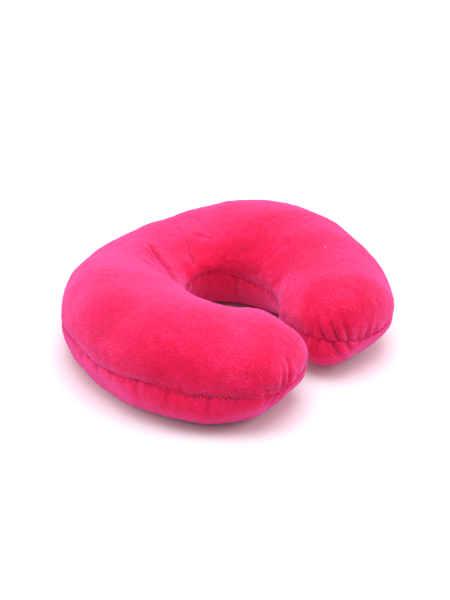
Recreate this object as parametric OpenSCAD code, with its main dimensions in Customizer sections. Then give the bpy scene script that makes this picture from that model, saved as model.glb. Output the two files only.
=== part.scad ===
// U-shaped neck pillow: two plush panels sewn together round their whole edge,
// stuffed with loose fibre through a gap in the seam that is then closed by hand.
// +Z is up, the neck opening faces -Y and X = 0 is the mirror plane.
// The origin is on the floor, under the middle of the pillow. Sizes are in millimetres.

/* [Plan of the U] */
// Radius of the roll's crest line behind the neck
back_r = 98; // [88:1:125]
// Angle that the back arc turns through on each side
back_turn = 86; // [75:1:90]
// Radius of the crest line of each arm
arm_r = 115; // [105:1:140]
// Least gap left between the two tips
tip_gap = 10; // [4:1:40]

/* [Roll] */
// Half of the roll's width behind the neck
back_half_w = 54; // [45:1:66]
// Half of the roll's width halfway along each side
side_half_w = 58; // [49:1:71]
// Half of the roll's width at the tips
tip_half_w = 53; // [44:1:64]
// How far the crest lies outward of the middle of the roll
crest_out = 3; // [0:0.5:9]
// Height of the crest behind the neck
back_h = 64; // [53:1:80]
// Height of the crest halfway along each side
side_h = 88; // [72:1:106]
// Height of the crest at the tips
tip_h = 82; // [68:1:99]
// Height of the seam
seam_z = 41; // [33:1:50]
// Roundness of the top's section, where 2 is an ellipse
top_round = 2.05; // [1.7:0.05:2.4]
// Roundness of the tips seen from above, where 2 is a circle
tip_round = 1.8; // [1.8:0.05:2.4]
// Width of the rounded edge between the flat underside and the seam
under_r = 18; // [12:1:30]
// Width of that rounded edge at the tips
tip_under_r = 34; // [20:1:41]
// How far the underside lifts off the floor at the tips
tip_lift = 4; // [0:0.5:10]

/* [Cloth] */
// Thickness of the plush cloth
cloth_t = 1.6; // [1:0.1:2.4]
// Width of the seam allowance that is turned inward
allowance = 8; // [6:0.5:12]
// Clearance between the filling and the cloth or the thread
fill_gap = 0.3; // [0.2:0.05:0.5]

/* [Thread] */
// Diameter of the machine thread
machine_d = 0.6; // [0.3:0.1:0.8]
// Length of one machine stitch
machine_len = 3; // [2:0.5:5]
// Distance from one machine stitch to the next
machine_pitch = 6; // [6:0.5:12]
// Distance of the machine stitches from the inside of the cloth wall
machine_in = 1.2; // [0.8:0.1:2.5]
// Diameter of the hand thread that closes the stuffing gap
hand_d = 0.9; // [0.5:0.1:1.4]
// Length of one hand stitch
hand_len = 5; // [3:0.5:7]
// Distance from one hand stitch to the next
hand_pitch = 6; // [4:0.5:9]
// Angle of a hand stitch from upright
hand_slant = 25; // [0:5:45]
// Length of the stuffing gap
closing_len = 50; // [30:1:80]
// Distance of the middle of the stuffing gap from the tip's turn, along the seam
closing_back = 38; // [30:1:120]
// Clearance between a stitch and the cloth that it lies on
stitch_gap = 0.1; // [0.05:0.05:0.2]

/* [Mesh] */
// Stations from the back to each tip, an even number
side_steps = 20; // [12:2:24]
// Stations round each tip
tip_steps = 10; // [6:1:12]
// Facets from the crest to the seam
top_steps = 8; // [6:1:10]
// Facets from the seam to the flat underside
under_steps = 5; // [4:1:7]

/* [Hidden] */

plush_colour = [0.91, 0.16, 0.40];
fill_colour = [0.96, 0.96, 0.94];
machine_colour = [0.85, 0.12, 0.34];
hand_colour = [0.55, 0.05, 0.20];
stitch_fn = 16;

// Half-height of the groove in the filling that takes the seam allowances and the stitches
groove_h = cloth_t + stitch_gap + machine_d + fill_gap;

// --- Crest line: an arc behind the neck, then an arc along each arm, in plan ---
arm_centre = (back_r - arm_r) * [sin(back_turn), cos(back_turn)];
tip_x = tip_gap / 2 + tip_half_w + crest_out;
tip_turn = 180 - asin((tip_x - arm_centre[0]) / arm_r);
back_len = back_r * back_turn * PI / 180;
arm_len = arm_r * (tip_turn - back_turn) * PI / 180;
line_len = back_len + arm_len;

// Angle turned at a share u of the way from the back (0) to a tip (1)
function turn(u) = u * line_len < back_len
    ? u * line_len / back_r * 180 / PI
    : back_turn + (u * line_len - back_len) / arm_r * 180 / PI;

function crest_xy(u) = turn(u) < back_turn
    ? back_r * [sin(turn(u)), cos(turn(u))]
    : arm_centre + arm_r * [sin(turn(u)), cos(turn(u))];

// --- Sizes of the roll along the crest line ---
function ease(t) = let(c = max(0, min(1, t))) c * c * (3 - 2 * c);

function blend(u, back, side, tip) =
    back + (side - back) * ease(2 * u) + (tip - side) * ease(2 * u - 1);

function crest_h(u) = blend(u, back_h, side_h, tip_h);
function edge_r(u) = blend(u, under_r, under_r, tip_under_r);
function floor_z(u) = tip_lift * ease((u - 0.7) / 0.3);

// Distance from the crest line to the seam, where q is 0 on the outer side and 180 inside
function reach(u, q) =
    blend(u, back_half_w, side_half_w, tip_half_w)
    * pow(pow(abs(cos(q)), tip_round) + pow(sin(q), tip_round), -1 / tip_round)
    - crest_out * cos(q);

// --- Stations round the seam, each [step along the crest, q, side of X = 0] ---
right_run = concat(
    [for (i = [0 : side_steps]) [i, 0, 1]],
    [for (k = [1 : tip_steps - 1]) [side_steps, 180 * k / tip_steps, 1]],
    [for (i = [side_steps : -1 : 0]) [i, 180, 1]]);
left_run = [for (n = [len(right_run) - 1 : -1 : 0])
    if (right_run[n][0] > 0) [right_run[n][0], right_run[n][1], -1]];
ring = concat(right_run, left_run);

function share(s) = s[0] / side_steps;
function seam_r(s) = reach(share(s), s[1]);

// Point at distance p[0] from the crest line and height p[1], on a station of the ring
function place(s, p) =
    let(u = share(s), out = [sin(turn(u)), cos(turn(u))], ahead = [out[1], -out[0]],
        xy = crest_xy(u) + p[0] * (out * cos(s[1]) + ahead * sin(s[1])))
    [s[2] * xy[0], xy[1] - middle_y, p[1]];

seam_ys = [for (s = ring) let(u = share(s))
    crest_xy(u)[1] + seam_r(s) * (cos(turn(u)) * cos(s[1]) - sin(turn(u)) * sin(s[1]))];
middle_y = (max(seam_ys) + min(seam_ys)) / 2;

// --- Half-sections, as [distance from the crest line, height], from the crest line out and back ---
function arch(r, low, high) = [for (k = [top_steps : -1 : 0]) let(a = 90 * k / top_steps)
    [r * pow(cos(a), 2 / top_round), low + (high - low) * pow(sin(a), 2 / top_round)]];

function bowl(r, edge, high, low) = concat(
    [for (k = [0 : under_steps]) let(a = 90 * k / under_steps)
        [r - edge + edge * cos(a), high - (high - low) * sin(a)]],
    [[0, low]]);

function backward(list) = [for (k = [len(list) - 1 : -1 : 0]) list[k]];

// Point at height z on the line from p to q
function at_height(p, q, z) = p + (q - p) * (z - p[1]) / (q[1] - p[1]);

function top_section(u, r) = concat(
    arch(r, seam_z, crest_h(u)),
    [[r - allowance, seam_z], [r - allowance, seam_z + cloth_t]],
    backward(arch(r - cloth_t, seam_z + cloth_t, crest_h(u) - cloth_t)));

function bottom_section(u, r) = concat(
    backward(bowl(r - cloth_t, edge_r(u) - cloth_t, seam_z - cloth_t, floor_z(u) + cloth_t)),
    [[r - allowance, seam_z - cloth_t], [r - allowance, seam_z]],
    bowl(r, edge_r(u), seam_z, floor_z(u)));

function fill_section(u, r) =
    let(skin = cloth_t + fill_gap, groove_r = r - allowance - fill_gap,
        upper = arch(r - skin, seam_z + cloth_t, crest_h(u) - skin),
        lower = bowl(r - skin, edge_r(u) - skin, seam_z - cloth_t, floor_z(u) + skin))
    concat(
        [for (k = [0 : top_steps - 1]) upper[k]],
        [at_height(upper[top_steps - 1], upper[top_steps], seam_z + groove_h),
         [groove_r, seam_z + groove_h], [groove_r, seam_z - groove_h],
         at_height(lower[1], lower[0], seam_z - groove_h)],
        [for (k = [1 : len(lower) - 1]) lower[k]]);

// --- Solid that follows the U: the half-sections of all stations, joined along the crest line ---
module roll(section) {
    crest = concat([for (i = [0 : side_steps]) [i, 0, 1]], [for (i = [1 : side_steps]) [i, 0, -1]]);
    sections = [for (s = ring) section(share(s), seam_r(s))];
    crest_sections = [for (s = crest) section(share(s), seam_r(s))];
    last = len(sections[0]) - 1;

    function crest_id(s) = s[2] > 0 ? s[0] : side_steps + s[0];
    function id(n, k) =
        k == 0 ? crest_id(ring[n]) :
        k == last ? len(crest) + crest_id(ring[n]) :
        2 * len(crest) + n * (last - 1) + k - 1;

    points = concat(
        [for (c = [0 : len(crest) - 1]) place(crest[c], crest_sections[c][0])],
        [for (c = [0 : len(crest) - 1]) place(crest[c], crest_sections[c][last])],
        [for (n = [0 : len(ring) - 1]) for (k = [1 : last - 1]) place(ring[n], sections[n][k])]);
    // Each four-sided facet is split the same way on the outside and the inside of a wall
    faces = [for (n = [0 : len(ring) - 1]) for (k = [0 : last - 1])
        let(m = (n + 1) % len(ring), a = id(n, k), b = id(n, k + 1), c = id(m, k + 1), d = id(m, k),
            outward = sections[n][k][0] <= sections[n][k + 1][0])
            for (face = outward ? [[a, b, c], [a, c, d]] : [[a, b, d], [b, c, d]])
                if (face[0] != face[1] && face[1] != face[2] && face[2] != face[0]) face];
    polyhedron(points, faces, convexity = 8);
}

// --- Stitches, spaced evenly along the seam ---
// Closed path that lies a distance inside the seam
function seam_path(inset) = [for (n = [0 : len(ring)]) let(s = ring[n % len(ring)])
    let(p = place(s, [seam_r(s) - inset, 0])) [p[0], p[1]]];

function distances(path) = [for (n = 0, sum = 0; n < len(path);
    n = n + 1, sum = n < len(path) ? sum + norm(path[n] - path[n - 1]) : sum) sum];

function along(path, far, s) = [
    lookup(s, [for (n = [0 : len(path) - 1]) [far[n], path[n][0]]]),
    lookup(s, [for (n = [0 : len(path) - 1]) [far[n], path[n][1]]])];

// Distance of the middle of the stuffing gap, which is on the outer side of the -X arm
function closing_at(far) = far[len(ring) - side_steps] + closing_back;

// Sets its children at a distance s along the path, with X along the path and Y outward
module at_seam(path, far, s) {
    ahead = along(path, far, s + 0.5) - along(path, far, s - 0.5);
    spot = along(path, far, s);
    translate([spot[0], spot[1], seam_z])
        rotate([0, 0, atan2(ahead[1], ahead[0])])
            children();
}

// Row of machine stitches at a height from the seam, left out along the stuffing gap
module machine_row(height) {
    path = seam_path(cloth_t + machine_in + machine_d / 2);
    far = distances(path);
    count = floor(far[len(far) - 1] / machine_pitch);
    for (n = [0 : count - 1]) {
        s = (n + 0.5) * machine_pitch;
        if (abs(s - closing_at(far)) > closing_len / 2)
            at_seam(path, far, s)
                translate([0, 0, height])
                    rotate([0, 90, 0])
                        cylinder(h = machine_len, d = machine_d, center = true, $fn = stitch_fn);
    }
}

stitch_z = cloth_t + stitch_gap + machine_d / 2;

module top_panel() {
    color(plush_colour) roll(function (u, r) top_section(u, r));
}

module bottom_panel() {
    color(plush_colour) roll(function (u, r) bottom_section(u, r));
}

module fibre_fill() {
    color(fill_colour) roll(function (u, r) fill_section(u, r));
}

module seam_needle_thread() {
    color(machine_colour) machine_row(stitch_z);
}

module seam_bobbin_thread() {
    color(machine_colour) machine_row(-stitch_z);
}

module closing_thread() {
    path = seam_path(0);
    far = distances(path);
    count = floor(closing_len / hand_pitch);
    color(hand_colour)
        for (n = [0 : count])
            at_seam(path, far, closing_at(far) + (n - count / 2) * hand_pitch)
                translate([0, stitch_gap + hand_d / 2, 0])
                    rotate([0, hand_slant, 0])
                        cylinder(h = hand_len, d = hand_d, center = true, $fn = stitch_fn);
}

top_panel();
bottom_panel();
fibre_fill();
seam_needle_thread();
seam_bobbin_thread();
closing_thread();
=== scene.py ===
"""U-shaped plush neck pillow: two puckered plush panels, hand-sewn closing stitches and fibre filling."""
import math

import bpy
import numpy as np
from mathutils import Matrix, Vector


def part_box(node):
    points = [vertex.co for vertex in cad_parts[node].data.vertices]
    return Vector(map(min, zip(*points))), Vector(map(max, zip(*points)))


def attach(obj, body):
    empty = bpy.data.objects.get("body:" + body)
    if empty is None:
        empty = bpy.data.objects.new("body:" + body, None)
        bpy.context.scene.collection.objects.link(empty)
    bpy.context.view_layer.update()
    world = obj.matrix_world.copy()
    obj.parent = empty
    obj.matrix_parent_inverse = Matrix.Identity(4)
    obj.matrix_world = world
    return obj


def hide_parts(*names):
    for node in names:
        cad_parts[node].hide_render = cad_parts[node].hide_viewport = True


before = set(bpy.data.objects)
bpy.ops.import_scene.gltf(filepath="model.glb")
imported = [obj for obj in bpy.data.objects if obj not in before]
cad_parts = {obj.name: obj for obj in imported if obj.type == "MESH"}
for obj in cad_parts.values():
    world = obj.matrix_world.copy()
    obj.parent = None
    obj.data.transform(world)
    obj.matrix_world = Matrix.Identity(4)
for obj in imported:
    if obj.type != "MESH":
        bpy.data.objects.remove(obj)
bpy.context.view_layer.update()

MM = 0.001
TINY = 1e-9  # keeps a division from meeting zero

# --- Sizes in millimetres, as the CAD model has them, in the shared frame ---
TOP_LOW, TOP_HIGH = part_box("top_panel")
SEAM_Z = TOP_LOW[2] / MM
SIDE_H = TOP_HIGH[2] / MM
BACK_DIP = 24.0  # how much lower the crest lies behind the neck than halfway along an arm
TIP_DIP = 6.0  # how much lower it lies at the tips
BACK_H = SIDE_H - BACK_DIP
TIP_H = SIDE_H - TIP_DIP
BACK_Y = TOP_HIGH[1] / MM
BACK_R = 98.0
BACK_TURN = math.radians(86.0)
ARM_R = 115.0
TIP_GAP = 10.0
BACK_HALF_W = 54.0
SIDE_HALF_W = 58.0
TIP_HALF_W = 53.0
CREST_OUT = 3.0
TOP_ROUND = 2.05
TIP_ROUND = 1.8
UNDER_R = 18.0
TIP_UNDER_R = 34.0
TIP_LIFT = 4.0
CLOTH_T = 1.6
ALLOWANCE = 8.0
CLOSING_LEN = 50.0
CLOSING_BACK = 38.0
HAND_PITCH = 6.0
HAND_SLANT = math.radians(25.0)
HAND_D = 0.9
MACHINE_D = 0.6
MACHINE_LEN = 3.4
MACHINE_PITCH = 6.0

# --- Plan of the U, worked out from those sizes ---
ARM_CENTRE = (BACK_R - ARM_R) * np.array([math.sin(BACK_TURN), math.cos(BACK_TURN)])
TIP_TURN = math.pi - math.asin((TIP_GAP / 2 + TIP_HALF_W + CREST_OUT - ARM_CENTRE[0]) / ARM_R)
BACK_LEN = BACK_R * BACK_TURN
LINE_LEN = BACK_LEN + ARM_R * (TIP_TURN - BACK_TURN)
MIDDLE_Y = BACK_R + BACK_HALF_W - CREST_OUT - BACK_Y

# --- Mesh density ---
SIDE_STEPS = 200  # stations from the back to a tip
TIP_STEPS = 84  # stations round a tip
WALL_STEPS = 62  # facets of a panel's wall from the crest line to the seam
LINING_STEPS = 10  # facets of its lining side over the same way
FIBRE_STEPS = 14  # facets of each half of the filling over the same way
FIBRE_THINNING = 4  # how many times fewer stations the filling has than the panels
SECTION_STEPS = 240  # facets of the fine section that the wall's points are picked from
SEAM_CROWDING = 1.5  # exponent that crowds those points towards the seam

# --- Stuffed shape, which only the looks have ---
INNER_UNDER_MORE = 15.0  # how much more the underside draws in on the inside of the U
INNER_TURN = (0.6, 2.4)  # angle q at which that starts, and over how much more angle it grows
LIFT_SHARES = (0.7, 0.3)  # share u from which a tip lifts off the floor, and over how much more of it
LEVEL_REACH = 2.0  # distance from the seam over which the wall moves level
REST_FADE = (1.0, 8.0)  # height at which the underside leaves the floor, and rise over which relief comes in
FULLNESS = 1.2  # how far the filled cloth stands proud of the plain shape
FULLNESS_REACH = 14.0  # distance from the seam over which it gets there
MOUND_REACH = 30.0  # distance from the seam over which a mound gets its full height
LUMPS = [(0.7, 1, 46), (0.3, 2, 21)]  # soft lumps of the stuffing: height, seed and size
FIELD_WAVES = 28  # waves that a random field is the sum of
WAVE_SPAN = (1.5, 3.0)  # their lengths, as multiples of the field's size

# Where the fibre is packed harder or looser: side, share u, angle q, height over the seam (minus below it),
# how far the wall moves out, and the reach of the change along the seam and across it
STUFFING = [
    (-1, 0.83, 0, -22, 7.5, 50, 20), (-1, 0.58, 0, -24, -3.5, 32, 18), (-1, 0.42, 0, -4, 3.2, 55, 26),
    (-1, 1.0, 48, -24, -7.5, 36, 17), (1, 1.0, 112, -22, 9.5, 27, 22), (1, 1.0, 48, -22, -5.0, 34, 20),
    (1, 0.75, 0, 40, -1.6, 90, 34), (-1, 0.2, 0, 34, -1.0, 60, 30),
]

# Mounds and hollows of the top: plan point, how far the wall moves out, and the radius
MOUNDS = [((-84, -38), 3.0, 34), ((-60, 62), -1.0, 30), ((-4, 62), -2.2, 24)]

# Where the sewn seam runs higher or lower than its even height: side, u, q, change, reach along the seam
SEAM_SHIFTS = [(1, 0.16, 180, 7.0, 34), (1, 0.62, 0, 1.5, 60)]
SEAM_SWAY = (1.3, 8, 26)  # its slow rise and fall all round: height, seed and size
SWAY_REACH = 16.0  # distance from the seam over which that dies away

# --- Puckers that show clearly: side of X = 0, share u, angle q, length, depth, half-width, lean ---
TOP_PUCKERS = [
    (1, 1.0, 117, 16, 2.4, 2.2, 0.0), (1, 1.0, 104, 26, 4.0, 2.3, 0.5), (1, 1.0, 93, 28, 4.5, 2.4, 0.45),
    (1, 1.0, 82, 24, 3.8, 2.2, 0.35), (1, 1.0, 72, 10, 1.8, 2.0, 0.1), (1, 1.0, 62, 19, 2.8, 2.2, -0.1),
    (1, 1.0, 52, 15, 2.4, 2.0, -0.2), (1, 1.0, 18, 12, 1.4, 2.4, 0.0),
    (-1, 1.0, 38, 32, 3.2, 2.4, -0.35), (-1, 1.0, 29, 26, 2.8, 2.3, -0.3), (-1, 1.0, 12, 12, 1.6, 2.2, 0.1),
    (-1, 1.0, 55, 14, 1.8, 2.2, -0.2), (-1, 1.0, 88, 18, 2.0, 2.4, 0.1),
]
UNDER_PUCKERS = [
    (-1, 0.53, 0, 15, 2.0, 2.8, 0.3), (-1, 0.59, 0, 17, 2.0, 3.0, 0.2), (-1, 0.64, 0, 14, 1.6, 2.6, 0.1),
    (-1, 0.72, 0, 18, 1.8, 3.0, 0.0), (-1, 0.80, 0, 16, 1.8, 2.6, 0.0), (-1, 0.90, 0, 20, 2.2, 2.8, 0.1),
    (-1, 1.0, 34, 24, 2.8, 2.4, 0.5), (-1, 1.0, 24, 22, 2.4, 2.3, 0.5), (-1, 1.0, 14, 16, 1.8, 2.4, 0.3),
    (1, 1.0, 112, 12, 1.8, 2.4, 0.0), (1, 1.0, 98, 20, 3.8, 2.6, -0.6), (1, 1.0, 86, 18, 3.2, 2.4, -0.5),
    (1, 0.42, 180, 30, 1.8, 3.6, 0.0), (-1, 0.30, 180, 24, 1.4, 3.4, 0.1),
]
PUCKER_BANKS = (0.42, 2.3)  # height and spread of the raised banks beside a pucker
PUCKER_WIDENING = 0.5  # share by which a pucker is wider at its far end
PUCKER_END = 1.15  # share of its length at which a pucker has died away
PUCKER_START = (0.35, 3.0)  # where on the smooth step it starts at the seam, and how long a step takes
PUCKER_SPAN = 40.0  # distance along the seam beyond which a pucker does nothing

# Small puckers between those: seeds of the two panels, the usual spacing, length and depth on each stretch
# of the seam, and the limits between which they vary
TOP_SEED, UNDER_SEED = 11, 23
SMALL_PUCKERS = {"tip": (11.0, 14.0, 0.9), "outer": (17.0, 12.0, 0.5), "inner": (22.0, 16.0, 0.4)}
SMALL_SPACING = (0.6, 1.6)
SMALL_LENGTH = (0.5, 1.4)
SMALL_DEPTH = (0.35, 1.2)
SMALL_WIDTH = (1.8, 3.2)
SMALL_LEAN = (-0.4, 0.4)
SMALL_START = 4.0  # distance along the seam at which the first one lies
SMALL_ROOM = 6.0  # distance that they keep from the listed ones
TIP_EDGE = 0.05  # angle within which a station still counts as on the side of an arm

# --- Long folds of the top panel: plan points, depth and half-width ---
TOP_FOLDS = [
    ([(-4, 102), (-16, 68), (-26, 42), (-41, 13)], 4.8, 2.5),
    ([(-15, 92), (-23, 64), (-31, 42), (-44, 12)], 3.6, 2.0),
    ([(-22, 86), (-29, 60), (-37, 38), (-48, 11)], 2.6, 1.8),
    ([(-39, 80), (-39, 57), (-44, 36), (-51, 12)], 1.6, 1.9),
    ([(34, 96), (27, 80), (20, 66), (7, 44), (3, 37)], 2.2, 2.7),
    ([(27, 72), (31, 60), (36, 42)], 1.3, 1.5),
    ([(52, 96), (46, 74), (36, 52)], 1.0, 3.5),
]
FOLD_BANKS = (0.35, 2.2)  # height and spread of the raised banks beside a fold
FOLD_TAPER = (0.3, 0.18)  # shares of a fold over which its first and its last end run out
FOLD_RISE = 10.0  # height over the seam at which a fold has its full depth

# --- Crevice at the seam, stitches' pull, the finest relief of the cloth and the shade painted into its hollows ---
CREVICE = [(0.9, 1.1), (0.45, 5.0)]  # depth and reach of its narrow bottom and of its wide mouth
CREVICE_UNEVEN = (0.25, 5, 9)  # how its depth varies: share, seed and size
MACHINE_PULL = 0.35  # share by which a machine stitch pulls it deeper
HAND_PULL = (0.9, 3.4)  # depth and reach of a hand stitch's pull
HAND_PULL_END = (3.0, 5.0)  # how far that goes on past the closing, and over what length it fades
PILE_RELIEF = (0.10, 3, 4.5)  # height, seed and size
PILE_WAVES = 40
# Painted shade: how much darker each millimetre of pucker, fold and crevice depth paints the pile
PUCKER_SHADE = 0.30  # how much a millimetre of each kind of depth darkens the pile
FOLD_SHADE = 0.24
CREVICE_SHADE = 0.45

# --- Cloth simulation ---
CLOTH_FRAMES = 14
CLOTH_GROWTH = 0.025  # how much longer the cloth is than the plain shape
CLOTH_SETTINGS = {
    "quality": 5,
    "mass": 0.3,
    "tension_stiffness": 15.0,
    "compression_stiffness": 15.0,
    "shear_stiffness": 5.0,
    "bending_stiffness": 0.5,
    "use_pressure": True,
    "uniform_pressure_force": 4.0,
    "shrink_min": -CLOTH_GROWTH,
}
CLOTH_CAP = 3.5  # most that a wrinkle may stand proud or sink, in millimetres
CLOTH_SHARE = 0.55  # how much of the wrinkles a well-filled pillow keeps
SPIKE_STEPS = (1, 0)  # steps along and across over which single points are evened out
SWELL_STEPS = (9, 3)  # steps over which the broad swelling is taken, to leave the wrinkles
CREST_REACH = 25.0  # distance from the crest over which the wrinkles come in
HIGH_SHARE = 0.2  # share of the wrinkles that is left far from the seam
WRINKLE_REACH = 34.0  # distance from the seam within which they keep their strength

# --- Filling ---
FIBRE_DEPTH = 6.1  # how far its surface lies inside the wall
FIBRE_CLUMPS = [(0.9, 31, 16), (0.6, 32, 7)]  # height, seed and size
FIBRE_GROOVE = (9.0, 4.0)  # depth and reach of the groove that clears the seam allowance

# --- Thread ---
MACHINE_IN = 1.8  # how far inside the wall the machine stitches lie
MACHINE_OVER = 0.1  # clearance between a machine stitch and the seam allowance
MACHINE_DIP = 0.12  # share of its height by which a machine stitch dips at both ends
MACHINE_POINTS = 6  # points along a machine stitch, and round it
MACHINE_SIDES = 6
STITCH_REACH = 1.9  # distance from the seam at which a hand stitch goes in
HAND_POINTS = 9  # points along a hand stitch, and round it
HAND_SIDES = 8
HAND_ARCH = 0.75  # height of a hand stitch's arch
HAND_ARCH_ROUND = 0.6  # the lower, the squarer the arch
HAND_SUNK = 0.55  # how deep its ends are sunk in the pile
UNEVEN_SLANT = (0.25, 2.3)  # how unevenly the hand stitches are made: share, and pace from one to the next
UNEVEN_LOW = (0.15, 1.7)
UNEVEN_HIGH = (0.15, 2.9)
TUBE_END = 0.35  # angle of the rounding at which a tube is cut off
TUBE_ROUND = 0.35  # the lower, the blunter the ends of a tube
STEEP = 0.9  # upward part of a path's direction above which it counts as steep
STEEP_SIDE = (1.0, 0.2, 0.1)  # direction from which a steep path's rings are laid out
LEVEL_SIDE = (0.13, 0.21, 1.0)  # direction from which any other path's rings are laid out

# --- Looks: colours in linear light, noises as scale, detail, roughness and distortion ---
# The bottom panel's colours are lighter than the top's: painted light, standing in for the light that the
# floor throws up onto the underside
TOP_PINKS = [(0.68, 0.0010, 0.027), (0.78, 0.0015, 0.037), (0.88, 0.005, 0.062)]
UNDER_PINKS_PAINTED_LIGHTER = [(0.80, 0.0012, 0.034), (0.90, 0.002, 0.046), (0.98, 0.006, 0.075)]
NAP_STOPS = (0.36, 0.50, 0.64)
BLOTCHES, BLOTCH_SHARE = (17.0, 3.0, 0.55, 0.6), 0.7
BRUSHING, BRUSHING_SHARE = (60.0, 3.0, 0.6, 0.8), 0.3
TUFTS = (1300.0, 0.0, 0.5, 0.0)
TUFT_CLUMPS, TUFT_CLUMP_SHARE = (500.0, 1.0, 0.5, 0.0), 0.35
SPECKLE = [(0.30, (0.66, 0.10, 0.20)), (0.48, (1.0, 1.0, 1.0)), (0.70, (1.0, 8.0, 3.0))]
# Painted shade: the colour that the pile is painted towards in puckers, folds and the seam crevice, and how
# far
PAINTED_SHADE_PINK = (0.40, 0.002, 0.030)
PAINTED_SHADE_MIX = 0.75
LINT = (0.95, 0.42, 0.52)
LINT_SCALE = 26.0
LINT_SIZE = 0.018
PLUSH_ROUGHNESS = 0.80
TUFT_ROUGHNESS = 0.12  # added at the tips of the tufts
PLUSH_BUMP = (0.9, 0.0009)  # strength, and distance in metres
PLUSH_SHADER = {
    "Specular IOR Level": 0.12,
    "Sheen Weight": 1.0,
    "Sheen Roughness": 0.45,
    "Sheen Tint": (1.0, 0.24, 0.80, 1.0),
}
MACHINE_THREAD = ("machine_thread_pink", (0.50, 0.008, 0.06), (0.85, 0.03, 0.16), 900.0)
HAND_THREAD = ("hand_thread_dark", (0.50, 0.003, 0.035), (0.80, 0.010, 0.09), 700.0)
PLIES = {"Distortion": 2.0, "Detail": 1.0}
THREAD_BUMP = (0.6, 0.0002)
THREAD_SHADER = {"Roughness": 0.6, "Sheen Weight": 0.3}
FIBRE_WHITES = [(0.3, (0.72, 0.71, 0.68)), (0.6, (0.95, 0.95, 0.93))]
FIBRE_STRETCH = (1.0, 0.35, 1.6)
STRANDS, STRAND_SHARE = (420.0, 6.0, 0.75, 1.6), 0.5
WADS, WAD_SHARE = (60.0, 3.0, 0.6, 0.8), 0.5
FIBRE_BUMP = (0.8, 0.0012)
FIBRE_SHADER = {"Roughness": 0.95, "Sheen Weight": 0.4}
FLOOR_TONES = [(0.3, (0.805, 0.80, 0.85)), (0.7, (0.82, 0.815, 0.865))]
FLOOR_CLOUDS = (6.0, 3.0, 0.5, 0.0)
FLOOR_SHADER = {"Roughness": 0.9, "Specular IOR Level": 0.1}
MIX_FACTOR, MIX_A, MIX_B, MIX_RESULT = 0, 6, 7, 2  # colour sockets of a mix node

# --- Stage, in metres and watts ---
FLOOR_HALF = 3.0
WORLD_COLOUR = (0.98, 0.965, 1.0, 1.0)
WORLD_BRIGHT = 1.25
WORLD_DIM = 0.30
DIM_SIDE = (-0.66, -0.64, 0.39)  # direction in which the surroundings are dimmest, which is the camera's
DIM_FADE = (-0.2, 0.9)  # how far a ray points that way where they are bright and where they are dim
LAMPS = [  # name, place, aim, size, watts and colour
    ("overhead", (0.03, -0.12, 1.75), (0, 0, 0), 1.6, 25.5, (1.0, 0.985, 0.99)),
    ("right_softbox", (0.95, -0.95, 0.65), (0, 0, 0.03), 0.9, 7.0, (1.0, 0.98, 1.0)),
    ("left_softbox", (-0.95, 0.95, 0.65), (0, 0, 0.03), 0.9, 7.0, (1.0, 0.98, 1.0)),
    ("front_fill", (-1.2, -0.9, 1.5), (0, 0, 0.03), 1.4, 2.0, (1.0, 0.98, 1.0)),
]
CAMERA_AZIMUTH = math.radians(-45.7)
CAMERA_ELEVATION = math.radians(32.6)
CAMERA_DISTANCE = 1.484
CAMERA_AIM = (0.0448, 0.0387, 0.0)
CAMERA_LENS = 90.2  # lens and sensor in millimetres
CAMERA_SENSOR = 36.0


def ease(t):
    """Smooth step from 0 to 1."""
    t = np.clip(t, 0.0, 1.0)
    return t * t * (3.0 - 2.0 * t)


def blend(u, back, side, tip):
    """Value at share u of the line, from its values behind the neck, halfway along an arm and at a tip."""
    return back + (side - back) * ease(2 * u) + (tip - side) * ease(2 * u - 1)


# --- Stations round the seam: u runs from the back (0) to a tip (1), q from outside (0) to inside (pi) ---
def stations(side_steps, tip_steps):
    """Rows of u, q and side: round the right half from outside to inside, and back round the left."""
    outer = [(i / side_steps, 0.0) for i in range(side_steps + 1)]
    cap = [(1.0, math.pi * k / tip_steps) for k in range(1, tip_steps)]
    inner = [(i / side_steps, math.pi) for i in range(side_steps, -1, -1)]
    right = outer + cap + inner
    left = [s for s in reversed(right) if s[0] > 0]
    rows = [(u, q, 1.0) for u, q in right] + [(u, q, -1.0) for u, q in left]
    return np.array(rows)


def crest_line(u):
    """Points of the right half's crest line in plan, with the outward and the forward direction at each."""
    along = u * LINE_LEN
    on_back = along < BACK_LEN
    turn = np.where(on_back, along / BACK_R, BACK_TURN + (along - BACK_LEN) / ARM_R)
    x = np.where(on_back, BACK_R * np.sin(turn), ARM_CENTRE[0] + ARM_R * np.sin(turn))
    y = np.where(on_back, BACK_R * np.cos(turn), ARM_CENTRE[1] + ARM_R * np.cos(turn))
    out = np.stack([np.sin(turn), np.cos(turn)], 1)
    ahead = np.stack([np.cos(turn), -np.sin(turn)], 1)
    return np.stack([x, y - MIDDLE_Y], 1), out, ahead


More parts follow.
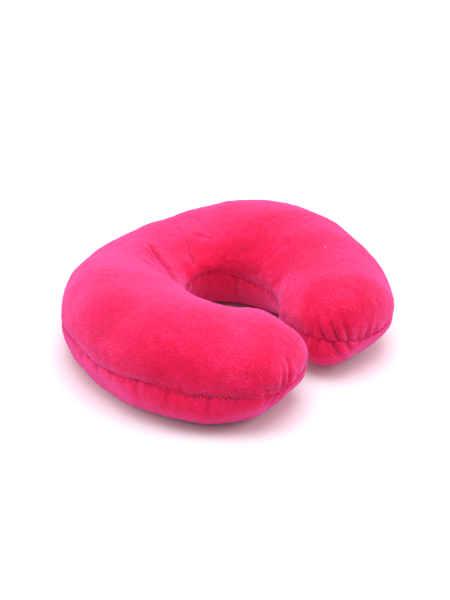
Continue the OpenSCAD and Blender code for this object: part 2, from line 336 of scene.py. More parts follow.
class Ring:
    """The stations, with where each crosses the crest line, which way it faces and its section's sizes."""

    def __init__(self, side_steps, tip_steps):
        self.u, self.q, self.side = stations(side_steps, tip_steps).T
        mirror = np.stack([self.side, np.ones_like(self.side)], 1)
        centre, out, ahead = crest_line(self.u)
        self.centre = centre * mirror
        self.ray = (out * np.cos(self.q)[:, None] + ahead * np.sin(self.q)[:, None]) * mirror
        self.level = np.concatenate([self.ray, np.zeros((len(self.ray), 1))], 1)
        self.size_sections()
        self.measure_seam()
        self.number_crest(side_steps)

    def size_sections(self):
        """Reach from the crest line to the seam, height, rounding underneath and lift of each section."""
        u, q = self.u, self.q
        cap = (np.abs(np.cos(q)) ** TIP_ROUND + np.abs(np.sin(q)) ** TIP_ROUND) ** (-1 / TIP_ROUND)
        self.reach = blend(u, BACK_HALF_W, SIDE_HALF_W, TIP_HALF_W) * cap - CREST_OUT * np.cos(q)
        self.height = blend(u, BACK_H, SIDE_H, TIP_H)
        inward = ease((q - INNER_TURN[0]) / INNER_TURN[1])
        self.under = blend(u, UNDER_R, UNDER_R, TIP_UNDER_R) + INNER_UNDER_MORE * inward
        self.floor = TIP_LIFT * ease((u - LIFT_SHARES[0]) / LIFT_SHARES[1])

    def measure_seam(self):
        """Distance of each station along the seam, and the length of the whole seam."""
        seam = self.centre + self.ray * self.reach[:, None]
        step = np.linalg.norm(np.roll(seam, -1, 0) - seam, axis=1)
        self.along_seam = np.concatenate([[0.0], np.cumsum(step)[:-1]])
        self.seam_len = step.sum()

    def number_crest(self, side_steps):
        """Number of the crest point at each station; the outer and the inner station share one."""
        step = np.rint(self.u * side_steps).astype(int)
        self.crest_id = np.where(self.side > 0, step, np.where(step > 0, side_steps + step, 0))
        self.crest_count = 2 * side_steps + 1

    def place(self, r, z):
        """Points at distance r from the crest line and height z, one row of each for every station."""
        xy = self.centre[:, None, :] + self.ray[:, None, :] * r[:, :, None]
        return np.concatenate([xy, z[:, :, None]], 2)


def arch(ring, steps):
    """Half-sections of the top from the crest down to the seam."""
    a = np.linspace(math.pi / 2, 0.0, steps + 1)
    r = ring.reach[:, None] * np.cos(a) ** (2 / TOP_ROUND)
    z = SEAM_Z + (ring.height - SEAM_Z)[:, None] * np.sin(a) ** (2 / TOP_ROUND)
    return r, z


def bowl(ring, steps):
    """Half-sections of the underside from the crest line out to the seam."""
    flat = np.linspace(0.0, 1.0, steps - steps // 2 + 1)[:-1]
    a = np.linspace(math.pi / 2, 0.0, steps // 2 + 1)
    inner = (ring.reach - ring.under)[:, None]
    low = ring.floor[:, None]
    r = np.concatenate([inner * flat, inner + ring.under[:, None] * np.cos(a)], 1)
    z = np.concatenate([low + 0 * flat, SEAM_Z - (SEAM_Z - low) * np.sin(a)], 1)
    return r, z


# --- Meshes ---
def gather(ring, rows):
    """Values of all points as the mesh numbers them: the two crest points of each section, then the rest."""
    last = rows.shape[1] - 1
    first_of = np.zeros(ring.crest_count, dtype=int)
    first_of[ring.crest_id[::-1]] = np.arange(len(rows))[::-1]
    flat = rows[:, 1:last].reshape((-1,) + rows.shape[2:])
    return np.concatenate([rows[first_of, 0], rows[first_of, last], flat])


def point_ids(ring, columns):
    """Vertex number of every point of a section grid, in the order that gather gives them."""
    count, last = len(ring.u), columns - 1
    ids = np.empty((count, columns), dtype=int)
    ids[:, 0] = ring.crest_id
    ids[:, last] = ring.crest_count + ring.crest_id
    ids[:, 1:last] = 2 * ring.crest_count + np.arange(count * (last - 1)).reshape(count, last - 1)
    return ids


def weave(ring, points):
    """Strips of quads along the ring; the first and last points of each section lie on the crest line."""
    ids = point_ids(ring, points.shape[1])
    after = np.roll(ids, -1, 0)
    quads = np.stack([ids[:, :-1], after[:, :-1], after[:, 1:], ids[:, 1:]], 2).reshape(-1, 4)
    return gather(ring, points), quads.tolist()


def join_halves(top, under):
    """Whole sections from half-sections of the top and the underside, which share the point at the seam."""
    return np.concatenate([top, under[:, -2::-1]], 1)


def add_object(name, data):
    """New object in the scene."""
    obj = bpy.data.objects.new(name, data)
    bpy.context.scene.collection.objects.link(obj)
    return obj


def make_mesh(name, verts, faces):
    """Smooth mesh object from points in millimetres; a face drops corners that share a point."""
    faces = [tuple(dict.fromkeys(face)) for face in faces]
    mesh = bpy.data.meshes.new(name)
    mesh.from_pydata((verts * MM).tolist(), [], [face for face in faces if len(face) > 2])
    mesh.validate()
    mesh.polygons.foreach_set("use_smooth", [True] * len(mesh.polygons))
    mesh.update()
    return add_object(name, mesh)


def store(obj, name, values):
    """Keeps one number per vertex on the mesh, for the material to read."""
    layer = obj.data.attributes.new(name, "FLOAT", "POINT")
    layer.data.foreach_set("value", np.asarray(values, dtype=np.float32))


# --- Cloth relief: stuffing lumps, seam crevice, puckers along the seam and long folds ---
def smooth_field(points, seed, size, waves=FIELD_WAVES):
    """Smooth random field of about unit height whose lumps are roughly size millimetres across."""
    rng = np.random.default_rng(seed)
    heading = rng.normal(size=(waves, 3))
    heading /= np.linalg.norm(heading, axis=1)[:, None]
    pace = 2 * math.pi / (size * rng.uniform(*WAVE_SPAN, waves))
    phase = rng.uniform(0, 2 * math.pi, waves)
    total = np.zeros(points.shape[:-1])
    for k in range(waves):
        total += np.cos(points @ (heading[k] * pace[k]) + phase[k])
    return total * math.sqrt(2.0 / waves)


def lumpy(points, *layers):
    """Sum of smooth random fields, each given by its height, seed and size."""
    return sum(height * smooth_field(points, seed, size) for height, seed, size in layers)


def wrap(distance, length):
    """Distance along a closed line, to either side of zero."""
    return (distance + length / 2) % length - length / 2


def seam_mark(ring, side, u, q_deg):
    """Distance along the seam of the station nearest to a place on the U."""
    miss = np.abs(ring.u - u) + np.abs(np.degrees(ring.q) - q_deg) / 180
    return ring.along_seam[np.argmin(np.where(ring.side == side, miss, np.inf))]


def groove(off, width, banks):
    """Section of a groove of unit depth, with a raised bank on each side."""
    height, spread = banks
    return np.exp(-(off / width) ** 2) - height * np.exp(-(off / (spread * width)) ** 2)


def stretch_of(q):
    """Which stretch of the seam a station at angle q lies on."""
    if q <= TIP_EDGE:
        return "outer"
    return "inner" if q >= math.pi - TIP_EDGE else "tip"


def small_puckers(ring, seed):
    """Small puckers at uneven distances round the seam: place, length, depth, half-width and lean."""
    rng = np.random.default_rng(seed)
    found, s = [], SMALL_START
    while s < ring.seam_len - SMALL_START:
        station = np.argmin(np.abs(ring.along_seam - s))
        spacing, length, depth = SMALL_PUCKERS[stretch_of(ring.q[station])]
        found.append((s, length * rng.uniform(*SMALL_LENGTH), depth * rng.uniform(*SMALL_DEPTH),
                      rng.uniform(*SMALL_WIDTH), rng.uniform(*SMALL_LEAN)))
        s += spacing * rng.uniform(*SMALL_SPACING)
    return found


def all_puckers(ring, marks, seed):
    """The listed puckers, and the small ones that keep clear of them."""
    listed = [(seam_mark(ring, side, u, q), *form) for side, u, q, *form in marks]
    small = [pucker for pucker in small_puckers(ring, seed)
             if all(abs(wrap(pucker[0] - other[0], ring.seam_len)) > SMALL_ROOM for other in listed)]
    return listed + small


def pucker_relief(ring, height, marks, seed):
    """Depth of all puckers at every point, where height is its distance from the seam over the cloth."""
    total = np.zeros_like(height)
    for s, length, depth, width, lean in all_puckers(ring, marks, seed):
        away = wrap(ring.along_seam - s, ring.seam_len)
        near = np.abs(away) < PUCKER_SPAN
        off = away[near, None] - lean * height[near]
        cut = groove(off, width * (1.0 + PUCKER_WIDENING * height[near] / length), PUCKER_BANKS)
        start = ease(PUCKER_START[0] + height[near] / PUCKER_START[1])
        total[near] += depth * cut * (ease(PUCKER_END - height[near] / length) * start)
    return total


def stuffing_relief(ring, height, top):
    """How far harder or looser stuffing moves the wall out."""
    signed = height if top else -height
    total = np.zeros_like(height)
    for side, u, q, level, amount, along, across in STUFFING:
        off = wrap(ring.along_seam - seam_mark(ring, side, u, q), ring.seam_len)
        total += amount * np.exp(-(off / along) ** 2)[:, None] * np.exp(-((signed - level) / across) ** 2)
    return total


def shift_seam(ring, points, top):
    """Moves the seam up or down, and the wall between it and the crest or the floor in proportion."""
    change = np.zeros(len(ring.u))
    for side, u, q, amount, along in SEAM_SHIFTS:
        off = wrap(ring.along_seam - seam_mark(ring, side, u, q), ring.seam_len)
        change += amount * np.exp(-(off / along) ** 2)
    end = (ring.height if top else ring.floor)[:, None]
    share = np.clip((points[..., 2] - end) / (SEAM_Z - end), 0, 1)
    points[..., 2] += change[:, None] * share
    return points


def closing_mark(ring):
    """Where the middle of the hand-sewn stuffing gap lies: on the outer side of the -X arm."""
    tip_turn = seam_mark(ring, -1, 1.0, 0.0)
    return tip_turn + CLOSING_BACK


def closing_relief(ring, height):
    """Extra depth where the hand stitches pull the two panels together."""
    depth, reach = HAND_PULL
    past, fade = HAND_PULL_END
    off = wrap(ring.along_seam - closing_mark(ring), ring.seam_len)
    window = ease((CLOSING_LEN / 2 + past - np.abs(off)) / fade)
    pull = window * (0.5 + 0.5 * np.cos(2 * math.pi * off / HAND_PITCH))
    return pull[:, None] * depth * np.exp(-(height / reach) ** 2)


def crevice_relief(ring, base, height):
    """Depth of the crevice at the seam, which the stitches pull deeper."""
    depth = sum(deep * np.exp(-height / reach) for deep, reach in CREVICE)
    pull = MACHINE_PULL * np.cos(2 * math.pi * ring.along_seam / MACHINE_PITCH)[:, None]
    return depth * (1 + pull + lumpy(base, CREVICE_UNEVEN)) + closing_relief(ring, height)


def nearest_on(line, points):
    """Plan distance from each point to a line, and the share of the line at which it is nearest."""
    best = np.full(points.shape[:-1], np.inf)
    at = np.zeros(points.shape[:-1])
    for k in range(len(line) - 1):
        start, run = line[k], line[k + 1] - line[k]
        share = np.clip(((points[..., :2] - start) @ run) / (run @ run), 0, 1)
        away = np.linalg.norm(points[..., :2] - start - share[..., None] * run, axis=-1)
        at = np.where(away < best, (k + share) / (len(line) - 1), at)
        best = np.minimum(best, away)
    return best, at


def fold_relief(points):
    """Depth of the long folds of the top panel."""
    total = np.zeros(points.shape[:-1])
    for line, depth, width in TOP_FOLDS:
        off, at = nearest_on(np.array(line, float), points)
        taper = ease(at / FOLD_TAPER[0]) * ease((1 - at) / FOLD_TAPER[1])
        total += depth * taper * groove(off, width, FOLD_BANKS)
    return total * ease((points[..., 2] - SEAM_Z) / FOLD_RISE)


def wall_normals(points):
    """Normals of the wall, from its neighbours along the ring and across it."""
    along = np.roll(points, -1, 0) - np.roll(points, 1, 0)
    across = np.gradient(points, axis=1)
    normal = np.cross(along, across)
    return normal / np.maximum(np.linalg.norm(normal, axis=2), TINY)[..., None]


class Panel:
    """One plush panel: its puckered wall, its turned-in seam allowance and its lining side."""

    def __init__(self, ring, top, steps):
        self.ring, self.top = ring, top
        r, z = self.sections(steps)
        self.base = shift_seam(ring, ring.place(r, z), top)
        step = np.linalg.norm(np.diff(self.base, axis=1), axis=2)
        total = np.cumsum(step[:, ::-1], axis=1)[:, ::-1]
        self.height = np.concatenate([total, np.zeros((len(step), 1))], 1)
        self.normal = self.outward()

    def sections(self, steps):
        """Half-sections of the plain wall, with more points towards the seam."""
        share = 1.0 - (1.0 - np.linspace(0.0, 1.0, steps + 1)) ** SEAM_CROWDING
        pick = share * SECTION_STEPS
        low = np.floor(pick).astype(int).clip(0, SECTION_STEPS - 1)
        part = pick - low
        fine = (arch if self.top else bowl)(self.ring, SECTION_STEPS)
        return [rows[:, low] * (1 - part) + rows[:, low + 1] * part for rows in fine]

    def outward(self):
        """Directions out of the pillow: level at the seam, upright on the crest line, normal between."""
        up = 1.0 if self.top else -1.0
        near_seam = np.exp(-self.height / LEVEL_REACH)[..., None]
        normal = wall_normals(self.base) * up * (1 - near_seam) + self.ring.level[:, None, :] * near_seam
        normal[:, 0] = (0.0, 0.0, up)
        return normal / np.linalg.norm(normal, axis=2)[..., None]

    def rests(self):
        """Fades the relief out where the underside lies on what it rests on."""
        return 1.0 if self.top else ease((self.base[..., 2] - REST_FADE[0]) / REST_FADE[1])

    def swell(self):
        """How far the stuffing pushes the wall out."""
        lumps = lumpy(self.base, *LUMPS)
        fullness = FULLNESS * ease(self.height / FULLNESS_REACH)
        for place, amount, radius in MOUNDS if self.top else []:
            away = np.linalg.norm(self.base[..., :2] - place, axis=2)
            lumps += amount * np.exp(-(away / radius) ** 2) * ease(self.height / MOUND_REACH)
        return (fullness + lumps + stuffing_relief(self.ring, self.height, self.top)) * self.rests()

    def stuffed(self, depth=0.0):
        """The wall where the stuffing pushes it, or a surface at a depth inside it."""
        return self.base + self.normal * (self.swell() - depth)[..., None]

    def shape(self, wrinkles):
        """Moves the plain wall to its stuffed, puckered and wrinkled place, and works out how much shade is
        painted into its hollows.
        """
        base, height = self.base, self.height
        marks, seed = (TOP_PUCKERS, TOP_SEED) if self.top else (UNDER_PUCKERS, UNDER_SEED)
        puckers = pucker_relief(self.ring, height, marks, seed)
        folds = fold_relief(base) if self.top else 0.0
        crevice = crevice_relief(self.ring, base, height)
        pile = PILE_RELIEF[0] * smooth_field(base, *PILE_RELIEF[1:], PILE_WAVES)
        move = self.swell() + (pile + wrinkles - puckers - folds) * self.rests() - crevice
        self.wall = base + self.normal * move[..., None]
        self.wall[..., 2] += lumpy(base * np.array([1, 1, 0]), SEAM_SWAY) * np.exp(-height / SWAY_REACH)
        self.wall[..., 2] = np.maximum(self.wall[..., 2], 0.0)
        # Painted shade: the deeper the puckers, folds and crevice, the darker the pile is painted there
        shade = puckers * PUCKER_SHADE + folds * FOLD_SHADE + crevice * CREVICE_SHADE
        self.painted_shade = np.clip(shade, 0, 1)

    def build(self, name):
        """Wall, turned-in allowance and lining as one closed form."""
        ring, wall = self.ring, self.wall
        seam = wall[:, -1]
        up = np.array([0.0, 0.0, CLOTH_T if self.top else -CLOTH_T])
        columns = np.linspace(0, wall.shape[1] - 1, LINING_STEPS + 1).round().astype(int)
        lining = wall[:, columns] - self.normal[:, columns] * CLOTH_T
        lining[:, -1] = seam - ring.level * CLOTH_T + up
        tucked = seam - ring.level * (ALLOWANCE - CLOTH_T)
        points = np.concatenate([wall, tucked[:, None], (tucked + up)[:, None], lining[:, ::-1]], 1)
        verts, quads = weave(ring, points)
        obj = make_mesh(name, verts, quads if self.top else [quad[::-1] for quad in quads])
        # The turned-in allowance and the lining are given full painted shade
        full_painted_shade = np.ones((len(wall), points.shape[1] - wall.shape[1]))
        store(obj, "painted_shade", gather(ring, np.concatenate([self.painted_shade, full_painted_shade], 1)))
        return obj


# --- Cloth: the two panels, sewn at the seam and blown up, give the wrinkles that gather at a seam ---
def blown_up(obj, pinned):
    """Positions of the mesh after a cloth simulation with pressure inside and the pinned points held."""
    group = obj.vertex_groups.new(name="sewn")
    group.add([int(i) for i in pinned], 1.0, "REPLACE")
    cloth = obj.modifiers.new("blow_up", "CLOTH")
    cloth.collision_settings.use_collision = False
    cloth.point_cache.frame_start = 1
    cloth.point_cache.frame_end = CLOTH_FRAMES
    for name, value in CLOTH_SETTINGS.items():
        setattr(cloth.settings, name, value)
    cloth.settings.effector_weights.gravity = 0.0
    cloth.settings.vertex_group_mass = group.name
    scene = bpy.context.scene
    for number in range(1, CLOTH_FRAMES + 1):
        scene.frame_set(number)
    final = obj.evaluated_get(bpy.context.evaluated_depsgraph_get()).to_mesh()
    places = np.empty(len(final.vertices) * 3)
    final.vertices.foreach_get("co", places)
    scene.frame_set(1)
    return places.reshape(-1, 3) / MM


def even_out(grid, along, across):
    """Running mean of a grid that closes on itself along its first direction."""
    total = sum(np.roll(grid, k, 0) for k in range(-along, along + 1)) / (2 * along + 1)
    padded = np.pad(total, ((0, 0), (across, across)), "edge")
    columns = grid.shape[1]
    return sum(padded[:, k:k + columns] for k in range(2 * across + 1)) / (2 * across + 1)


def refine(grid):
    """Grid of twice the density, with the values between made by averaging."""
    rows = np.empty((2 * len(grid), grid.shape[1]))
    rows[::2] = grid
    rows[1::2] = (grid + np.roll(grid, -1, 0)) / 2
    full = np.empty((len(rows), 2 * grid.shape[1] - 1))
    full[:, ::2] = rows
    full[:, 1::2] = (rows[:, 1:] + rows[:, :-1]) / 2
    return full


def wrinkle_height(panel, moved):
    """The short waves in a wall's movement: strongest near the seam, none at the crest."""
    out = even_out((moved * panel.normal).sum(2), *SPIKE_STEPS)
    height = np.clip(out - even_out(out, *SWELL_STEPS), -CLOTH_CAP, CLOTH_CAP)
    height *= CLOTH_SHARE * ease((panel.height[:, :1] - panel.height) / CREST_REACH)
    height *= HIGH_SHARE + (1 - HIGH_SHARE) * np.exp(-(panel.height / WRINKLE_REACH) ** 2)
    return refine(height)


def cloth_wrinkles():
    """Wrinkle height over the top and the bottom wall, from a simulation at half their density."""
    ring = Ring(SIDE_STEPS // 2, TIP_STEPS // 2)
    steps = WALL_STEPS // 2
    top, under = Panel(ring, True, steps), Panel(ring, False, steps)
    points = join_halves(top.stuffed(), under.stuffed())
    verts, quads = weave(ring, points)
    skin = make_mesh("simulated_skin", verts, quads)
    ids = point_ids(ring, points.shape[1])
    moved = (blown_up(skin, np.unique(ids[:, steps])) - verts)[ids]
    bpy.data.meshes.remove(skin.data)  # the object goes with its mesh
    return wrinkle_height(top, moved[:, :steps + 1]), wrinkle_height(under, moved[:, :steps - 1:-1])


# --- Filling: a lumpy body of fibre that follows the walls and leaves room for the seam allowance ---
def fibre_body():
    """Both halves of the filling as one closed form."""
    ring = Ring(SIDE_STEPS // FIBRE_THINNING, TIP_STEPS // FIBRE_THINNING)
    groove_depth, groove_reach = FIBRE_GROOVE
    halves = []
    for top in (True, False):
        panel = Panel(ring, top, FIBRE_STEPS)
        clumps = np.abs(lumpy(panel.base, *FIBRE_CLUMPS))
        depth = FIBRE_DEPTH + clumps + groove_depth * np.exp(-panel.height / groove_reach)
        halves.append(panel.stuffed(depth))
    return make_mesh("fibre_filling", *weave(ring, join_halves(*halves)))


# --- Thread: tubes along short curves ---
def tube(path, radius, sides):
    """Points and faces of a closed round tube along a short path, narrowed at both ends."""
    ahead = np.gradient(path, axis=0)
    ahead /= np.linalg.norm(ahead, axis=1)[:, None]
    lead = np.cross(ahead, LEVEL_SIDE if abs(ahead[0, 2]) < STEEP else STEEP_SIDE)
    lead /= np.linalg.norm(lead, axis=1)[:, None]
    third = np.cross(ahead, lead)
    turn = np.linspace(0, 2 * math.pi, sides, endpoint=False)
    size = radius * np.sin(np.linspace(TUBE_END, math.pi - TUBE_END, len(path))) ** TUBE_ROUND
    ring = np.cos(turn)[None, :, None] * lead[:, None] + np.sin(turn)[None, :, None] * third[:, None]
    verts = (path[:, None] + ring * size[:, None, None]).reshape(-1, 3)
    starts = range(0, len(verts) - sides, sides)
    around = [(n, (n + 1) % sides) for n in range(sides)]
    quads = [[s + n, s + m, s + sides + m, s + sides + n] for s in starts for n, m in around]
    first, last = list(range(sides)), list(range(len(verts) - sides, len(verts)))
    return verts, quads + [first[::-1], last]


def join_tubes(name, tubes):
    """One mesh object of all the tubes."""
    faces, base = [], 0
    for verts, tube_faces in tubes:
        faces += [[i + base for i in face] for face in tube_faces]
        base += len(verts)
    return make_mesh(name, np.concatenate([verts for verts, _ in tubes]), faces)


def closed_curve(points):
    """Function that gives the points at distances along a closed line, and the length of the line."""
    loop = np.concatenate([points, points[:1]])
    far = np.concatenate([[0.0], np.cumsum(np.linalg.norm(np.diff(loop, axis=0), axis=1))])

    def at(s):
        return np.stack([np.interp(s % far[-1], far, loop[:, k]) for k in range(3)], -1)

    return at, far[-1]


def machine_row(name, panel):
    """Lockstitches that lie on the seam allowance of a panel, left out along the stuffing gap."""
    ring = panel.ring
    lift = (CLOTH_T + MACHINE_OVER + MACHINE_D / 2) * (1 if panel.top else -1)
    line = panel.wall[:, -1] - ring.level * (CLOTH_T + MACHINE_IN) + np.array([0, 0, lift])
    at, length = closed_curve(line)
    gap = closing_mark(ring) / ring.seam_len * length
    share = np.linspace(-1, 1, MACHINE_POINTS)
    tubes = []
    for n in range(int(length / MACHINE_PITCH)):
        s = (n + 0.5) * MACHINE_PITCH
        if abs(wrap(s - gap, length)) > CLOSING_LEN / 2:
            path = at(s + share / 2 * MACHINE_LEN)
            path[:, 2] -= share ** 4 * lift * MACHINE_DIP
            tubes.append(tube(path, MACHINE_D / 2, MACHINE_SIDES))
    return join_tubes(name, tubes)


def on_wall(panel, s, height):
    """Point and normal of a panel's wall at a distance along the seam and a distance from it."""
    ring = panel.ring
    away = wrap(s - ring.along_seam, ring.seam_len)
    here = int(np.argmin(np.abs(away)))
    beside = (here + 1) % len(ring.u) if away[here] > 0 else here - 1
    part = abs(away[here]) / abs(wrap(ring.along_seam[beside] - ring.along_seam[here], ring.seam_len))
    found = np.zeros((2, 3))
    for station, weight in ((here, 1 - part), (beside, part)):
        heights = panel.height[station][::-1]
        for row, values in enumerate((panel.wall[station][::-1], panel.normal[station][::-1])):
            found[row] += weight * np.array([np.interp(height, heights, values[:, k]) for k in range(3)])
    return found


def closing_stitches(top, under):
    """Slanted hand stitches across the crevice, each a thread that dives into the pile at both ends."""
    middle = closing_mark(top.ring)
    count = int(CLOSING_LEN / HAND_PITCH)
    t = np.linspace(0, 1, HAND_POINTS)[:, None]
    arch_height = HAND_ARCH * np.sin(math.pi * t) ** HAND_ARCH_ROUND - HAND_SUNK
    tubes = []
    for n in range(count + 1):
        s = middle + (n - count / 2) * HAND_PITCH
        slant = STITCH_REACH * math.tan(HAND_SLANT) * (1 + UNEVEN_SLANT[0] * math.sin(n * UNEVEN_SLANT[1]))
        below = STITCH_REACH * (1 + UNEVEN_LOW[0] * math.sin(n * UNEVEN_LOW[1]))
        above = STITCH_REACH * (1 + UNEVEN_HIGH[0] * math.cos(n * UNEVEN_HIGH[1]))
        low, low_out = on_wall(under, s - slant, below)
        high, high_out = on_wall(top, s + slant, above)
        out = (low_out + high_out) / np.linalg.norm(low_out + high_out)
        tubes.append(tube(low * (1 - t) + high * t + out * arch_height, HAND_D / 2, HAND_SIDES))
    return join_tubes("closing_stitches", tubes)


# --- Materials ---
class Nodes:
    """Small helper that adds nodes to a new material and links them."""

    def __init__(self, name):
        self.material = bpy.data.materials.new(name)
        self.material.use_nodes = True
        self.tree = self.material.node_tree
        self.shader = self.tree.nodes["Principled BSDF"]
        self.where = self.add("ShaderNodeTexCoord").outputs["Object"]

    def add(self, kind, **values):
        """New node; each value goes to the input of that name, or else to the setting."""
        node = self.tree.nodes.new(kind)
        for key, value in values.items():
            if key in node.inputs:
                node.inputs[key].default_value = value
            else:
                setattr(node, key, value)
        return node

    def link(self, out, into):
        """Links an output to an input."""
        self.tree.links.new(out, into)

    def feed(self, value, socket):
        """Links an output to an input, or sets the input to a number or a colour."""
        if isinstance(value, bpy.types.NodeSocket):
            self.link(value, socket)
        else:
            socket.default_value = (*value, 1.0) if isinstance(value, tuple) else value

    def noise(self, form, where=None):
        """Noise over the object's own coordinates, or over other ones."""
        scale, detail, roughness, distortion = form
        node = self.add("ShaderNodeTexNoise", Scale=scale, Detail=detail, Roughness=roughness,
                        Distortion=distortion)
        self.link(self.where if where is None else where, node.inputs["Vector"])
        return node.outputs["Fac"]

    def ramp(self, factor, stops):
        """Colour from a factor, through the colours at the given stops."""
        node = self.add("ShaderNodeValToRGB")
        elements = node.color_ramp.elements
        while len(elements) < len(stops):
            elements.new(1.0)
        for element, (position, colour) in zip(elements, stops):
            element.position = position
            element.color = (*colour, 1.0)
        self.link(factor, node.inputs["Fac"])
        return node.outputs["Color"]

    def mix(self, factor, a, b, blend_type="MIX"):
        """Colour a mixed with colour b."""
        node = self.add("ShaderNodeMix", data_type="RGBA", blend_type=blend_type)
        for value, number in ((factor, MIX_FACTOR), (a, MIX_A), (b, MIX_B)):
            self.feed(value, node.inputs[number])
        return node.outputs[MIX_RESULT]

    def maths(self, operation, a, b):
        """Result of one sum on two numbers."""
        node = self.add("ShaderNodeMath", operation=operation)
        self.feed(a, node.inputs[0])
        self.feed(b, node.inputs[1])
        return node.outputs[0]

    def weigh(self, a, share_a, b, share_b):
        """Sum of two numbers, each times its share."""
        return self.maths("ADD", self.maths("MULTIPLY", a, share_a), self.maths("MULTIPLY", b, share_b))

    def bump(self, height, form):
        """Bumps from a height, into the shader."""
        strength, distance = form
        node = self.add("ShaderNodeBump", Strength=strength, Distance=distance)
        self.link(height, node.inputs["Height"])
        self.link(node.outputs["Normal"], self.shader.inputs["Normal"])

    def set_shader(self, values):
        """Constant values of the shader."""
        for name, value in values.items():
            self.shader.inputs[name].default_value = value


def plush_material(name, shades):
    """Short-pile plush: nap in soft blotches, speckled pile tips, painted shade in its hollows and a soft
    sheen at glancing angles.
    """
    n = Nodes(name)
    nap = n.weigh(n.noise(BLOTCHES), BLOTCH_SHARE, n.noise(BRUSHING), BRUSHING_SHARE)
    colour = n.ramp(nap, list(zip(NAP_STOPS, shades)))
    tufts = n.noise(TUFTS)
    colour = n.mix(1.0, colour, n.ramp(tufts, SPECKLE), "MULTIPLY")
    # Painted shade: the pile is painted towards a deep pink where the stored shade is high
    painted_shade = n.add("ShaderNodeAttribute", attribute_name="painted_shade").outputs["Fac"]
    colour = n.mix(n.maths("MULTIPLY", painted_shade, PAINTED_SHADE_MIX), colour, PAINTED_SHADE_PINK)
    flecks = n.add("ShaderNodeTexVoronoi", Scale=LINT_SCALE)
    n.link(n.where, flecks.inputs["Vector"])
    lint = n.maths("LESS_THAN", flecks.outputs["Distance"], LINT_SIZE)
    n.link(n.mix(lint, colour, LINT), n.shader.inputs["Base Color"])
    rough = n.maths("ADD", n.maths("MULTIPLY", tufts, TUFT_ROUGHNESS), PLUSH_ROUGHNESS)
    n.link(rough, n.shader.inputs["Roughness"])
    n.bump(n.weigh(tufts, 1.0, n.noise(TUFT_CLUMPS), TUFT_CLUMP_SHARE), PLUSH_BUMP)
    n.set_shader(PLUSH_SHADER)
    return n.material


def thread_material(name, dark, light, twist):
    """Spun thread: light and dark plies that wind round it."""
    n = Nodes(name)
    wave = n.add("ShaderNodeTexWave", Scale=twist, bands_direction="DIAGONAL", **PLIES)
    n.link(n.where, wave.inputs["Vector"])
    n.link(n.mix(wave.outputs["Fac"], dark, light), n.shader.inputs["Base Color"])
    n.bump(wave.outputs["Fac"], THREAD_BUMP)
    n.set_shader(THREAD_SHADER)
    return n.material


def fibre_material():
    """Loose polyester fibre: near white, with fine stretched strands and soft hollows."""
    n = Nodes("polyester_fibre")
    stretch = n.add("ShaderNodeMapping", Scale=FIBRE_STRETCH)
    n.link(n.where, stretch.inputs["Vector"])
    strands = n.noise(STRANDS, stretch.outputs["Vector"])
    shade = n.weigh(strands, STRAND_SHARE, n.noise(WADS), WAD_SHARE)
    n.link(n.ramp(shade, FIBRE_WHITES), n.shader.inputs["Base Color"])
    n.bump(strands, FIBRE_BUMP)
    n.set_shader(FIBRE_SHADER)
    return n.material


# --- Stage: pale floor, soft light from above and two sides, and a camera in front, to the left and above ---
def stage():
    """Pale floor under the pillow."""
    mesh = bpy.data.meshes.new("floor")
    corners = [(x * FLOOR_HALF, y * FLOOR_HALF, 0) for x, y in ((-1, -1), (1, -1), (1, 1), (-1, 1))]
    mesh.from_pydata(corners, [], [(0, 1, 2, 3)])
    floor = add_object("floor", mesh)
    n = Nodes("floor_white")
    n.link(n.ramp(n.noise(FLOOR_CLOUDS), FLOOR_TONES), n.shader.inputs["Base Color"])
    n.set_shader(FLOOR_SHADER)
    mesh.materials.append(n.material)


def area_light(name, place, aim, size, watts, colour):
    """Round soft lamp that shines at a point."""
    data = bpy.data.lights.new(name, "AREA")
    data.shape = "DISK"
    data.size = size
    data.energy = watts
    data.color = colour
    lamp = add_object(name, data)
    lamp.location = place
    lamp.rotation_euler = (Vector(aim) - Vector(place)).to_track_quat("-Z", "Y").to_euler()


def light_world():
    """Bright surroundings that are dimmer on the camera's side."""
    world = bpy.data.worlds.new("studio")
    bpy.context.scene.world = world
    world.use_nodes = True
    nodes, links = world.node_tree.nodes, world.node_tree.links
    backdrop = nodes["Background"]
    backdrop.inputs["Color"].default_value = WORLD_COLOUR
    where = nodes.new("ShaderNodeTexCoord")
    towards = nodes.new("ShaderNodeVectorMath")
    towards.operation = "DOT_PRODUCT"
    towards.inputs[1].default_value = DIM_SIDE
    fade = nodes.new("ShaderNodeMapRange")
    fade.interpolation_type = "SMOOTHSTEP"
    fade.inputs["From Min"].default_value = DIM_FADE[0]
    fade.inputs["From Max"].default_value = DIM_FADE[1]
    fade.inputs["To Min"].default_value = WORLD_BRIGHT
    fade.inputs["To Max"].default_value = WORLD_DIM
    links.new(where.outputs["Generated"], towards.inputs[0])
    links.new(towards.outputs["Value"], fade.inputs["Value"])
    links.new(fade.outputs["Result"], backdrop.inputs["Strength"])


def light_scene():
    """Surroundings and lamps."""
    light_world()
    for lamp in LAMPS:
        area_light(*lamp)


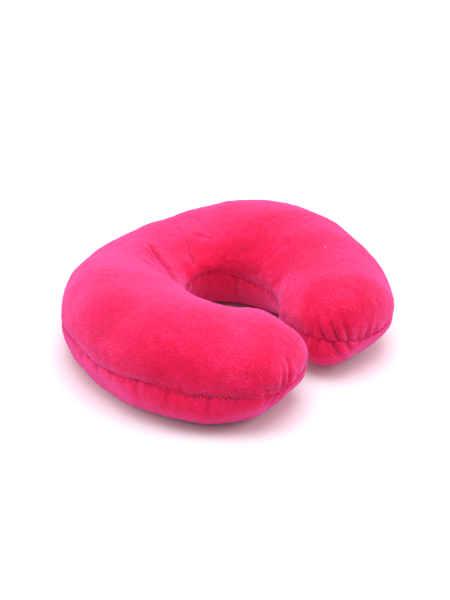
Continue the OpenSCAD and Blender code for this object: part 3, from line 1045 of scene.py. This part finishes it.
def place_camera():
    """Camera that looks at the pillow from the photograph's angle."""
    level = math.cos(CAMERA_ELEVATION)
    back = Vector((math.sin(CAMERA_AZIMUTH) * level, -math.cos(CAMERA_AZIMUTH) * level,
                   math.sin(CAMERA_ELEVATION)))
    data = bpy.data.cameras.new("camera")
    data.lens = CAMERA_LENS
    data.sensor_width = CAMERA_SENSOR
    camera = add_object("camera", data)
    camera.location = Vector(CAMERA_AIM) + back * CAMERA_DISTANCE
    camera.rotation_euler = (-back).to_track_quat("-Z", "Y").to_euler()
    bpy.context.scene.camera = camera


# --- The pillow ---
def dress(obj, material, slot, *nodes):
    """Gives a piece its material, its body and the CAD nodes it stands for; the slot is not used."""
    obj.data.materials.append(material)
    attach(obj, "root")
    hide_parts(*nodes)


def build_panels(top, under):
    """Both plush panels, with the wrinkles of the cloth simulation."""
    for panel, wrinkles in zip((top, under), cloth_wrinkles()):
        panel.shape(wrinkles)
    # The bottom panel gets lighter colours than the top: painted light from the floor below
    pieces = [
        (top, "top_plush_panel", plush_material("plush_top", TOP_PINKS), "top_panel"),
        (under, "bottom_plush_panel", plush_material("plush_under_painted_lighter", UNDER_PINKS_PAINTED_LIGHTER), "bottom_panel"),
    ]
    for panel, name, material, node in pieces:
        obj = panel.build(name)
        dress(obj, material, "plush", node)


def build_filling():
    """The fibre that fills both panels."""
    filling = fibre_body()
    dress(filling, fibre_material(), "fibre", "fibre_fill")


def build_threads(top, under):
    """Both threads of the machine seam, and the hand thread that closes the stuffing gap."""
    machine = thread_material(*MACHINE_THREAD)
    dress(machine_row("needle_stitches", top), machine, "machine_thread", "seam_needle_thread")
    dress(machine_row("bobbin_stitches", under), machine, "machine_thread", "seam_bobbin_thread")
    hand = thread_material(*HAND_THREAD)
    dress(closing_stitches(top, under), hand, "hand_thread", "closing_thread")


def build_pillow():
    """All six pieces."""
    ring = Ring(SIDE_STEPS, TIP_STEPS)
    top = Panel(ring, True, WALL_STEPS)
    under = Panel(ring, False, WALL_STEPS)
    build_panels(top, under)
    build_filling()
    build_threads(top, under)


build_pillow()
stage()
light_scene()
place_camera()
bpy.context.scene.view_settings.view_transform = "Standard"
